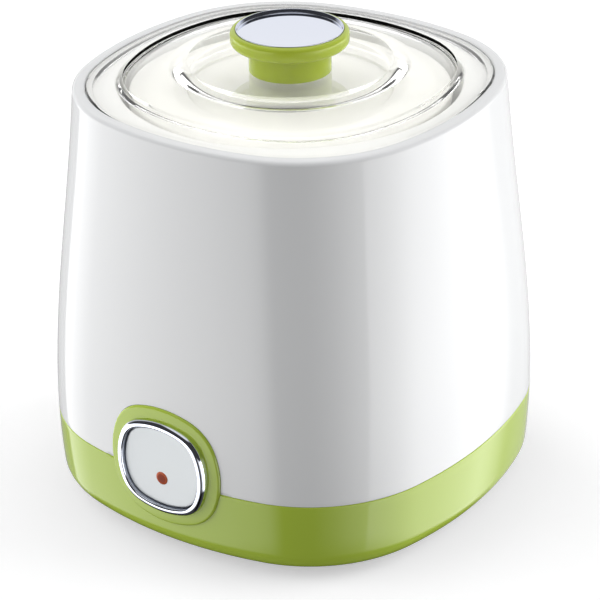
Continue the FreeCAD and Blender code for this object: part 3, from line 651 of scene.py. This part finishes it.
# Lens and lamp: a small red acrylic lens held in the button by its flange, with the lamp on the board
# behind it.
def red_acrylic():
    """Red acrylic, lighter near its rim: the colour goes by the distance from the lens's axis."""
    material = moulded("lens_red", tone(150, 62, 34), 0.22, drift=0.2, Specular_IOR_Level=0.12)
    nodes, link = material.node_tree.nodes, material.node_tree.links.new
    place = nodes.new("ShaderNodeMapping")
    place.inputs["Scale"].default_value = (1 / (lens_radius * MM), 0, 1 / (lens_radius * MM))
    place.inputs["Location"].default_value = (0, 0, -lens_z / lens_radius)
    link(nodes.new("ShaderNodeTexCoord").outputs["Object"], place.inputs["Vector"])
    away = nodes.new("ShaderNodeVectorMath")
    away.operation = "LENGTH"
    link(place.outputs[0], away.inputs[0])
    ramp = nodes.new("ShaderNodeValToRGB")
    stops = ramp.color_ramp.elements
    reds = ((0.0, tone(136, 54, 28)), (0.62, tone(150, 62, 34)), (0.82, tone(196, 96, 60)),
            (1.0, tone(214, 120, 84)))
    while len(stops) < len(reds):
        stops.new(0.5)
    for stop, (where, color) in zip(stops, reds):
        stop.position, stop.color = where, color
    link(away.outputs["Value"], ramp.inputs[0])
    link(ramp.outputs[0], nodes["Group"].inputs["Color"])
    return material


lens_red = red_acrylic()
lens_front = lens_low.y / MM
lens_back = lens_high.y / MM
lens_body, lens_flange = 2.3, 3.2
lens_crown = [(0, 0), (1.2, 0), (1.9, 0.06), (2.22, 0.2), (lens_body, 0.32)]
lens_rows = [(radius, lens_front + deep) for radius, deep in lens_crown]
lens_rows += [(lens_body, button_back), (lens_flange, button_back), (lens_flange, lens_back), (0, lens_back)]
solid("red_lens", [np.stack([across(radius, y, lens_z) for radius, y in lens_rows])], lens_red, "button",
      "lens_red", "indicator_lens")
dress(lens_red, "indicator_lamp")


# Jar: a round pot of milky plastic with a stepped neck, standing loose in the liner.
jar_frost = moulded("jar_frost", tone(234, 233, 226), 0.35, drift=0.03, Subsurface_Weight=0.3,
                    Subsurface_Radius=(0.004, 0.004, 0.003))
jar_low, jar_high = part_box("jar")
jar_z, jar_top, jar_radius = jar_low.z / MM, jar_high.z / MM, jar_high.x / MM
jar_wall, jar_bottom, jar_edge = 2.2, 3.0, 5.0
jar_round, neck_round = 0.8, 0.3
neck_z, neck_step = jar_top - 8.6, 2.1
neck_radius = jar_radius - neck_step
shoulder_z = neck_z - jar_wall
jar_inner = jar_radius - jar_wall
neck_inner = neck_radius - jar_wall
jar_profile = rounded([(0, jar_z), (jar_radius, jar_z, jar_edge), (jar_radius, neck_z, jar_round),
                       (neck_radius, neck_z, neck_round), (neck_radius, jar_top, jar_round),
                       (neck_inner, jar_top, jar_round), (neck_inner, shoulder_z, jar_round),
                       (jar_inner, shoulder_z - neck_step, jar_round),
                       (jar_inner, jar_z + jar_bottom, jar_edge - 1), (0, jar_z + jar_bottom)])
solid("jar_pot", [turned(jar_profile)], jar_frost, "jar", "jar_frost", "jar")


# Jar lid: a cream snap lid whose skirt grips the neck, with a sunk panel and a silicone sealing ring.
jar_lid_cream = moulded("jar_lid_cream", tone(249, 248, 243), 0.38, drift=0.16, drift_scale=46.0,
                        grain_depth=0.012)
seal_silicone = moulded("seal_silicone", tone(230, 230, 224), 0.55)
lid_low, lid_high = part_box("jar_lid")
cream_top, skirt_z = lid_high.z / MM, lid_low.z / MM
cream_wall, cream_panel, cream_depth = 1.7, 34.0, 1.0
cream_edge, panel_edge, panel_foot, skirt_edge, under_edge = 1.0, 0.5, 0.4, 0.3, 0.2
cream_under = cream_top - cream_wall
skirt_inner = neck_radius + 0.3
cream_step = cream_panel + cream_wall
cream_profile = rounded([(0, cream_under - cream_depth), (cream_step, cream_under - cream_depth, panel_foot),
                         (cream_step, cream_under, under_edge), (skirt_inner, cream_under, skirt_edge),
                         (skirt_inner, skirt_z), (jar_radius, skirt_z, skirt_edge),
                         (jar_radius, cream_top, cream_edge), (cream_panel, cream_top, panel_edge),
                         (cream_panel, cream_top - cream_depth, panel_foot), (0, cream_top - cream_depth)])
solid("cream_jar_lid", [turned(cream_profile)], jar_lid_cream, "jar_lid", "jar_lid_cream", "jar_lid")
dress(seal_silicone, "jar_lid_seal")


# Lid cover: clear polished plastic in one wall thickness. A flange rises to a step, inside the step a dome
# rises to a round well, and the knob stands on the floor of the well.
def clear_plastic(name, choose, other, color):
    """Clear polished plastic with faint flow lines; where choose gives 1, a plain shader takes its place."""
    material = moulded(name, tone(254, 254, 253), 0.015, drift=0.01, spread=0.015, grain_scale=60.0,
                       grain_depth=0.004, Transmission_Weight=1.0, IOR=1.12, Coat_Weight=1.0,
                       Coat_Roughness=0.02)
    nodes, link = material.node_tree.nodes, material.node_tree.links.new
    plain = nodes.new(other)
    plain.inputs["Color"].default_value = color
    choice = nodes.new("ShaderNodeMixShader")
    link(choose(nodes, link), choice.inputs[0])
    link(nodes["Principled BSDF"].outputs[0], choice.inputs[1])
    link(plain.outputs[0], choice.inputs[2])
    link(choice.outputs[0], nodes["Material Output"].inputs["Surface"])
    return material


def for_shadows(nodes, link):
    """1 for a ray that only looks for light."""
    return nodes.new("ShaderNodeLightPath").outputs["Is Shadow Ray"]


def from_inside(nodes, link):
    """1 where a face is met from inside the plastic."""
    return nodes.new("ShaderNodeNewGeometry").outputs["Backfacing"]


def from_outside(nodes, link):
    """1 where a face is met from outside."""
    outside = nodes.new("ShaderNodeMath")
    outside.operation = "SUBTRACT"
    outside.inputs[0].default_value = 1.0
    link(from_inside(nodes, link), outside.inputs[1])
    return outside.outputs[0]


lid_clear = clear_plastic("lid_clear", for_shadows, "ShaderNodeBsdfTransparent", tone(250, 250, 249))
# Painted shade: where met from inside the plastic, the lid's outer edge turns almost black, standing in for
# the dark gap between the lid and the shell's rim, and the top lip of the well does the same, as a dark line
# along its edge.
lid_rim_painted_shade = clear_plastic("lid_rim_painted_shade", from_inside, "ShaderNodeBsdfDiffuse", tone(30, 29, 24))
# Painted shade: the inner wall of the step turns near black where met from outside, standing in for the dark
# gap that the wall shows through the flange.
lid_step_painted_shade = clear_plastic("lid_step_painted_shade", from_outside, "ShaderNodeBsdfDiffuse", tone(14, 14, 13))
cover_low, cover_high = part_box("lid_cover")
cover_under = cover_low.z / MM
dome_top = cover_high.z / MM
lid_wall = 2.0
lid_edge_z = cover_under + 2.2
step_top = lid_edge_z + 2.1
step_floor = step_top - 1.5
step_half, step_corner = 53.0, 40.0
well_radius, well_foot = 34.4, 33.2
well_floor = dome_top - 3.9
screw_hole = 1.65
flange_width, dome_width = lid_half - step_half, step_half - well_radius


def cover_ring(place, grow, z):
    """Ring of the lid: place 0 is the lid's edge, 1 the step, 2 the well's edge and 3 the axis.

    Between the edge and the step the outline narrows in a straight line, between the step and the well
    it passes from the cushion outline to the circle, and inside the well the circle shrinks.
    """
    edge = np.clip(place, 0, 1)
    half = lid_half + (step_half - lid_half) * edge + grow
    corner = lid_corner + (step_corner - lid_corner) * edge + grow
    x, y = cushion(half, half, corner, lid_bow, turn)
    inner = np.clip(place - 1, 0, 1)
    radius = (well_radius + grow) * (1 - np.clip(place - 2, 0, 1))
    x = (1 - inner) * x + inner * radius * np.cos(turn)
    y = (1 - inner) * y + inner * radius * np.sin(turn)
    return np.stack([x, y, np.full_like(x, z)], -1)


def dome_height(share):
    """Height of the dome over the step's floor, level at the well's edge: rise * (2 * share - share ** 2)."""
    return (dome_top - step_floor) * (2 * share - share ** 2)


def radius_place(radius):
    """Place on the well's floor for a radius."""
    return 3 - radius / well_radius


def beside_step(path):
    """Rows of the lid along a path of distances outside the step (inside if negative) and heights."""
    return [(1 - away / (flange_width if away > 0 else dome_width), 0.0, z) for away, z in path]


def beside_well(path):
    """Rows of the lid along a path of radii and heights at the well."""
    return [(radius_place(radius) if radius < well_radius else 1 + (step_half - radius) / dome_width, 0.0, z)
            for radius, z in path]


def eased(first, last, steps):
    """Smooth passage between two points of a profile, level at both ends: 3 * share ** 2 - 2 * share ** 3."""
    share = np.linspace(0, 1, steps)
    rise = 3 * share ** 2 - 2 * share ** 3
    return np.stack([first[0] + (last[0] - first[0]) * share, first[1] + (last[1] - first[1]) * rise], -1)


def dome_under(radius):
    """Height of the dome's underside, one wall below its top."""
    return step_floor - lid_wall + dome_height((step_half - radius) / dome_width)


lid_round, lid_lip = 0.3, 0.15
step_edge, step_foot = 0.12, 0.15
well_edge, well_round = 0.4, 1.2
dome_start, dome_end = 0.1, 0.94
flange_start, dome_foot = 3.0, 1.2
floor_radii = 28.0, 20.0, 12.0, screw_hole
soft_under = 33.4, 39.8
plain_under = 40.4, 52.4
step_under = -0.3, 2.4
flange_seat = 0.2, cover_under + 0.1
well_under = well_floor - lid_wall
flange_slope = (step_top - lid_edge_z) / flange_width
crown = dome_top - 0.01
step_path = rounded([(flange_start, step_top - flange_start * flange_slope), (0.0, step_top, step_edge),
                     (0.0, step_floor, step_foot),
                     (-dome_foot, step_floor + dome_height(dome_foot / dome_width))])
well_path = rounded([(well_radius + 1.5 * well_edge, crown), (well_radius, crown, well_edge),
                     (well_foot, well_floor, well_round), (floor_radii[0], well_floor)])
cover_rows = [(0.0, -lid_round, cover_under), (0.0, 0.0, cover_under + lid_round),
              (0.0, 0.0, lid_edge_z - 0.5), (0.0, -lid_lip, lid_edge_z - lid_lip),
              (0.05, 0.0, lid_edge_z + 0.1), (0.3, 0.0, lid_edge_z + 0.63)]
cover_rows += beside_step(step_path)
cover_rows += [(1 + share, 0.0, step_floor + dome_height(share))
               for share in np.linspace(dome_start, dome_end, 26)]
cover_rows += beside_well(well_path)
cover_rows += [(radius_place(radius), 0.0, well_floor) for radius in floor_radii[1:]]
cover_rows += [(radius_place(radius), 0.0, well_under) for radius in floor_radii[::-1]]
cover_rows += beside_well(eased((soft_under[0], well_under), (soft_under[1], dome_under(soft_under[1])), 14))
cover_rows += beside_well([(radius, dome_under(radius)) for radius in np.linspace(*plain_under, 20)])
cover_rows += beside_step(eased((step_under[0], step_floor - lid_wall + 0.1),
                                (step_under[1], step_top - lid_wall - 0.25), 12))
cover_rows += [(flange_seat[0], 0.0, flange_seat[1]), (flange_seat[0] - 0.01, 0.0, cover_under),
               (0.0, -lid_round, cover_under)]
cover_rings = np.stack([cover_ring(*row) for row in cover_rows])
lid_piece = solid("clear_lid", [cover_rings], lid_clear, "lid", "lid_clear", "lid_cover")
lid_mesh = lid_piece.data
lid_mesh.materials.append(lid_rim_painted_shade)
lid_mesh.materials.append(lid_step_painted_shade)
rim_shade_slot, step_shade_slot = 1, 2
steepest = 0.4
for face in lid_mesh.polygons:
    far, z = face.center.xy.length / MM, face.center.z / MM
    upright, outward = abs(face.normal.z) < steepest, face.normal.dot(face.center) > 0
    # Painted shade: outward upright faces low on the lid's edge, and the faces of the well's top lip, take
    # the dark rim material.
    if upright and outward and z < lid_edge_z - 0.2 or far < well_radius and z > dome_top - 0.45:
        face.material_index = rim_shade_slot
    # Painted shade: upright faces of the step's inner wall, facing inward, take the near-black step material.
    elif upright and not outward and step_floor < z < step_top:
        face.material_index = step_shade_slot


# Knob: a green gripping knob with a narrow foot, held from below by one screw and a washer.
knob_green = green_plastic("knob_green", tone(176, 194, 60), 0.16)
knob_low, knob_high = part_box("lid_knob")
cap_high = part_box("knob_cap")[1]
knob_foot, knob_head = 13.8, knob_high.x / MM
knob_z, knob_top = knob_low.z / MM, knob_high.z / MM
knob_neck = knob_z + 9.0
cap_radius = cap_high.x / MM
cap_top = cap_high.z / MM
cap_seat = cap_top - 2.5
cap_room = cap_radius + 0.1
foot_edge, neck_edge, head_under, head_edge, seat_edge = 0.3, 0.4, 1.8, 1.6, 0.2
knob_profile = rounded([(0, knob_z), (knob_foot, knob_z, foot_edge), (knob_foot, knob_neck, neck_edge),
                        (knob_head, knob_neck, head_under), (knob_head, knob_top, head_edge),
                        (cap_room, knob_top, seat_edge), (cap_room, cap_seat), (0, cap_seat)], 8)
solid("green_knob", [turned(knob_profile)], knob_green, "lid", "knob_green", "lid_knob")


# Knob cap: a shallow chrome-plated dish let into the top of the knob and glued to it.
cap_lip_width, cap_lip_edge, cap_edge, cap_thickness = 0.4, 0.18, 0.2, 1.0
cap_dish, cap_foot = cap_seat + cap_thickness, 0.3
cap_inner = cap_radius - cap_lip_width
cap_profile = rounded([(0, cap_seat), (cap_radius, cap_seat, cap_edge), (cap_radius, cap_top, cap_lip_edge),
                       (cap_inner, cap_top, cap_lip_edge), (cap_inner, cap_dish, cap_foot), (0, cap_dish)])
solid("chrome_dish", [turned(cap_profile)], chrome, "lid", "chrome", "knob_cap")


# Surroundings: a pale floor that runs out into a white backdrop, and soft panels to the left, to the right
# and above. The side the camera stands on is left dark, as a studio is. Gloss shows the panels sharper
# than the light they spread.
floor_half, floor_shade, floor_lift = 3.0, 0.95, 0.28
floor_corners = [(x * floor_half, y * floor_half, 0) for x, y in ((-1, -1), (1, -1), (1, 1), (-1, 1))]
floor_mesh = bpy.data.meshes.new("floor")
floor_mesh.from_pydata(floor_corners, [], [(0, 1, 2, 3)])
floor = bpy.data.objects.new("floor", floor_mesh)
bpy.context.scene.collection.objects.link(floor)
floor.visible_glossy = False
floor.visible_diffuse = False
floor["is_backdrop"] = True
floor_pale = bpy.data.materials.new("floor_pale")
floor_pale.use_nodes = True
floor_nodes, floor_link = floor_pale.node_tree.nodes, floor_pale.node_tree.links.new
floor_shader = floor_nodes["Principled BSDF"]
floor_shader.inputs["Base Color"].default_value = (floor_shade, floor_shade, floor_shade, 1)
floor_shader.inputs["Roughness"].default_value = 1.0
floor_shader.inputs["Specular IOR Level"].default_value = 0.0
floor_shader.inputs["Emission Color"].default_value = (1, 1, 1, 1)
floor_glow = floor_nodes.new("ShaderNodeMath")
floor_glow.operation = "MULTIPLY"
floor_link(floor_nodes.new("ShaderNodeLightPath").outputs["Is Camera Ray"], floor_glow.inputs[0])
floor_glow.inputs[1].default_value = floor_lift
floor_link(floor_glow.outputs[0], floor_shader.inputs["Emission Strength"])
floor_mesh.materials.append(floor_pale)

world = bpy.data.worlds.new("studio")
world.use_nodes = True
bpy.context.scene.world = world
sky, sky_link = world.node_tree.nodes, world.node_tree.links.new


def sky_math(operation, first, second=None):
    """One calculation on the direction a ray leaves in."""
    node = sky.new("ShaderNodeMath")
    node.operation = operation
    for socket, value in zip(node.inputs, (first, second)):
        if isinstance(value, (int, float)):
            socket.default_value = value
        elif value is not None:
            sky_link(value, socket)
    return node.outputs[0]


def sky_ramp(value, stops):
    """Brightness by stops of place and strength, straight in between."""
    ramp = sky.new("ShaderNodeValToRGB")
    elements = ramp.color_ramp.elements
    while len(elements) < len(stops):
        elements.new(0.5)
    for element, (place, strength) in zip(elements, stops):
        element.position = place
        element.color = (strength, strength, strength, 1)
    sky_link(value, ramp.inputs[0])
    return ramp.outputs[0]


def sky_mix(factor, first, second):
    """Passes from the first brightness to the second."""
    node = sky.new("ShaderNodeMix")
    node.data_type = "RGBA"
    sky_link(factor, node.inputs["Factor"])
    for socket, value in zip((node.inputs[6], node.inputs[7]), (first, second)):
        if isinstance(value, tuple):
            socket.default_value = value
        else:
            sky_link(value, socket)
    return node.outputs[2]


def sky_times(first, second):
    """Product of two brightnesses."""
    node = sky.new("ShaderNodeMix")
    node.data_type = "RGBA"
    node.blend_type = "MULTIPLY"
    node.inputs["Factor"].default_value = 1.0
    sky_link(first, node.inputs[6])
    sky_link(second, node.inputs[7])
    return node.outputs[2]


def grey(strength):
    """Even brightness."""
    return (strength / panel_scale, strength / panel_scale, strength / panel_scale, 1)


def by_bearing(strengths):
    """Brightness by bearing in degrees: 0 is the front, 90 the right."""
    return sky_ramp(bearing, [((angle + 180) / 360, strength / panel_scale) for angle, strength in strengths])


direction = sky.new("ShaderNodeSeparateXYZ")
sky_link(sky.new("ShaderNodeTexCoord").outputs["Generated"], direction.inputs[0])
sideways, depth, height = direction.outputs
bearing = sky_math("ARCTAN2", sideways, sky_math("MULTIPLY", depth, -1.0))
bearing = sky_math("DIVIDE", sky_math("ADD", bearing, math.pi), 2 * math.pi)
height = sky_math("MULTIPLY_ADD", height, 0.5)
height.node.inputs[2].default_value = 0.5
panel_scale = 5.0

soft_round = by_bearing([(-180, 0.45), (-128, 0.45), (-112, 2.2), (-70, 2.4), (-55, 3.1), (-30, 1.7),
                         (-14, 0.45), (78, 0.45), (92, 1.0), (104, 1.0), (112, 3.9), (150, 3.9), (158, 0.5),
                         (180, 0.45)])
soft_below = sky_ramp(height, [(0.46, 0.5), (0.52, 1.0)])
top_share = sky_ramp(height, [(0.80, 0.0), (0.88, 1.0)])
soft_light = sky_mix(top_share, sky_times(soft_round, soft_below), grey(0.45))

mirror_round = by_bearing([(-180, 0.95), (-160, 0.8), (-140, 0.55), (-103, 0.5), (-99, 2.4), (-60, 2.5),
                           (-20, 2.3), (0, 1.6), (11, 0.03), (35, 0.05), (51, 0.75), (65, 1.6), (77, 2.0),
                           (78.2, 3.5),
                           (150, 3.8), (165, 1.1), (180, 0.95)])
mirror_below = sky_ramp(height, [(0.15, 0.02), (0.19, 0.75), (0.25, 0.8), (0.32, 1.0)])
mirror_above = by_bearing([(-180, 0.95), (-110, 0.95), (-78, 0.04), (145, 0.04), (172, 0.95), (180, 0.95)])
above_share = sky_ramp(height, [(0.49, 0.0), (0.53, 1.0)])
mirror_wall = sky_mix(above_share, sky_times(mirror_round, mirror_below), mirror_above)
zenith_share = sky_ramp(height, [(0.93, 0.0), (0.97, 1.0)])
mirror_light = sky_mix(zenith_share, mirror_wall, grey(0.85))

ray = sky.new("ShaderNodeLightPath").outputs
studio_light = sky.new("ShaderNodeBackground")
sky_link(sky_mix(ray["Is Glossy Ray"], soft_light, mirror_light), studio_light.inputs["Color"])
studio_light.inputs["Strength"].default_value = panel_scale
white_light = sky.new("ShaderNodeBackground")
white_light.inputs["Color"].default_value = (1, 1, 1, 1)
seen = sky.new("ShaderNodeMixShader")
sky_link(sky_math("MAXIMUM", ray["Is Camera Ray"], ray["Is Transmission Ray"]), seen.inputs[0])
sky_link(studio_light.outputs[0], seen.inputs[1])
sky_link(white_light.outputs[0], seen.inputs[2])
sky_link(seen.outputs[0], sky["World Output"].inputs["Surface"])


# Camera: the photograph's view, from the front right and above, through a long lens.
camera_bearing, camera_rise, camera_roll = math.radians(35.2), math.radians(26.36), math.radians(-0.97)
camera_distance = 0.87964
aim = Vector((0, 0, 0.0714))
image_size = 600
focal_pixels = 2551.46
aim_pixel = (293.85, 278.0)
camera_data = bpy.data.cameras.new("camera")
camera_data.sensor_width = 36.0
camera_data.lens = focal_pixels * camera_data.sensor_width / image_size
camera_data.shift_x = 0.5 - aim_pixel[0] / image_size
camera_data.shift_y = aim_pixel[1] / image_size - 0.5
camera_data.clip_start = 0.01
camera = bpy.data.objects.new("camera", camera_data)
bpy.context.scene.collection.objects.link(camera)
outward = Vector((math.sin(camera_bearing) * math.cos(camera_rise),
                  -math.cos(camera_bearing) * math.cos(camera_rise), math.sin(camera_rise)))
look = outward.to_track_quat("Z", "Y").to_matrix().to_4x4()
camera.matrix_world = (Matrix.Translation(aim + outward * camera_distance) @ look
                       @ Matrix.Rotation(camera_roll, 4, "Z"))
bpy.context.scene.camera = camera
bpy.context.scene.view_settings.view_transform = "Standard"

low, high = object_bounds()
